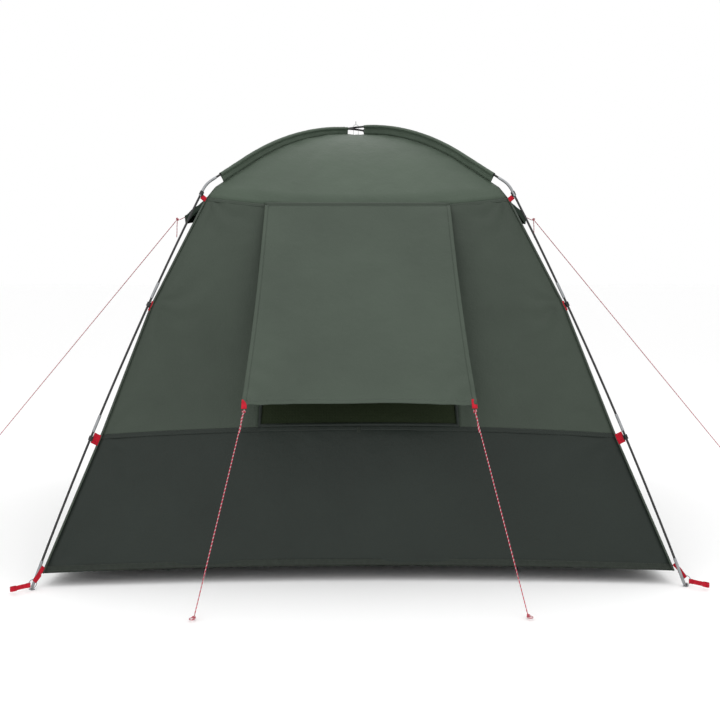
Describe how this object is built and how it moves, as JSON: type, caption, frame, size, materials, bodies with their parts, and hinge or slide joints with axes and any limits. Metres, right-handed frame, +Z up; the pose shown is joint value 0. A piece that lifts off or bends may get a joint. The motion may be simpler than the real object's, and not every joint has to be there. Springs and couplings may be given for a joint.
{
  "type": "tent on poles",
  "caption": "Square open-floor shelter tent held up by crossing bent poles on the outside, with a window awning, side visors and a zipped door",
  "frame": {"origin": "centre of the base on the ground", "axes": "+Z up, -Y out of the front wall with the window, +X to the right seen from the front"},
  "size_m": [5.0265, 3.5673, 2.288],
  "materials": {
    "glass_fibre": "gloss",
    "grey_steel": "satin",
    "elastic": "matte",
    "red_webbing": "matte",
    "dark_webbing": "matte",
    "black_plastic": "satin",
    "roof_fabric": "satin",
    "mesh": "matte",
    "awning_fabric": "satin",
    "trim": "matte",
    "rope": "matte",
    "wall_fabric": "satin"
  },
  "bodies": {
    "root": {"back_wall_header": "wall_fabric", "back_wall_left": "wall_fabric", "back_wall_right": "wall_fabric", "clip_webbings": "red_webbing", "corner_pins": "grey_steel", "corner_rings": "grey_steel", "corner_seams": "trim", "corner_tabs": "red_webbing", "crown_tie": "dark_webbing", "door_zip": "trim", "elbow_back_left": "grey_steel", "elbow_back_right": "grey_steel", "elbow_front_left": "grey_steel", "elbow_front_right": "grey_steel", "foot_ends": "grey_steel", "front_wall_lower": "wall_fabric", "front_wall_upper": "wall_fabric", "hem_tape": "trim", "left_vent_mesh": "mesh", "left_wall_lower": "wall_fabric", "left_wall_upper": "wall_fabric", "leg_ferrules": "grey_steel", "leg_pole_back_left": "glass_fibre", "leg_pole_back_right": "glass_fibre", "leg_pole_front_left": "glass_fibre", "leg_pole_front_right": "glass_fibre", "peg_strap_back_left": "red_webbing", "peg_strap_back_right": "red_webbing", "peg_strap_front_left": "red_webbing", "peg_strap_front_right": "red_webbing", "pole_clips": "black_plastic", "pole_sleeve_back_left": "roof_fabric", "pole_sleeve_back_right": "roof_fabric", "pole_sleeve_front_left": "roof_fabric", "pole_sleeve_front_right": "roof_fabric", "right_vent_mesh": "mesh", "right_wall_lower": "wall_fabric", "right_wall_upper": "wall_fabric", "roof_ferrules": "grey_steel", "roof_panel_back": "roof_fabric", "roof_panel_front": "roof_fabric", "roof_panel_left": "roof_fabric", "roof_panel_right": "roof_fabric", "roof_pole_a": "glass_fibre", "roof_pole_b": "glass_fibre", "shock_cords": "elastic", "side_guy_left": "rope", "side_guy_right": "rope", "visor_left": "roof_fabric", "visor_right": "roof_fabric", "visor_tabs": "red_webbing", "window_mesh": "mesh", "window_tab": "dark_webbing"},
    "awning": {"awning": "awning_fabric", "awning_tabs": "red_webbing"},
    "awning_guy_left": {"awning_guy_left": "rope"},
    "awning_guy_right": {"awning_guy_right": "rope"},
    "door": {"door_panel": "wall_fabric"},
    "zip_slider": {"zip_slider": "black_plastic"}
  },
  "joints": [
    {"name": "awning_swing", "type": "hinge", "parent": "root", "child": "awning", "pos_m": [0, -0.765, 1.775], "axis": [-1, 0, 0], "range_deg": [-10, 42]},
    {"name": "awning_guy_left_swing", "type": "hinge", "parent": "awning", "child": "awning_guy_left", "pos_m": [-0.531, -1.417, 0.80472], "axis": [-1, 0, 0], "range_deg": [-82, 20]},
    {"name": "awning_guy_right_swing", "type": "hinge", "parent": "awning", "child": "awning_guy_right", "pos_m": [0.531, -1.417, 0.80472], "axis": [-1, 0, 0], "range_deg": [-82, 20]},
    {"name": "door_swing", "type": "hinge", "parent": "root", "child": "door", "pos_m": [-0.4525, 1.10653, 0.85], "axis": [0, -0.3566, 0.9343], "range_deg": [0, 105]},
    {"name": "zip_slide", "type": "slide", "parent": "root", "child": "zip_slider", "axis": [0, -0.3556, 0.9346], "range_m": [0, 1.4]}
  ],
  "couplings": [
    {"joint": "awning_guy_left_swing", "follows": "awning_swing", "ratio": -1.95},
    {"joint": "awning_guy_right_swing", "follows": "awning_swing", "ratio": -1.95}
  ]
}
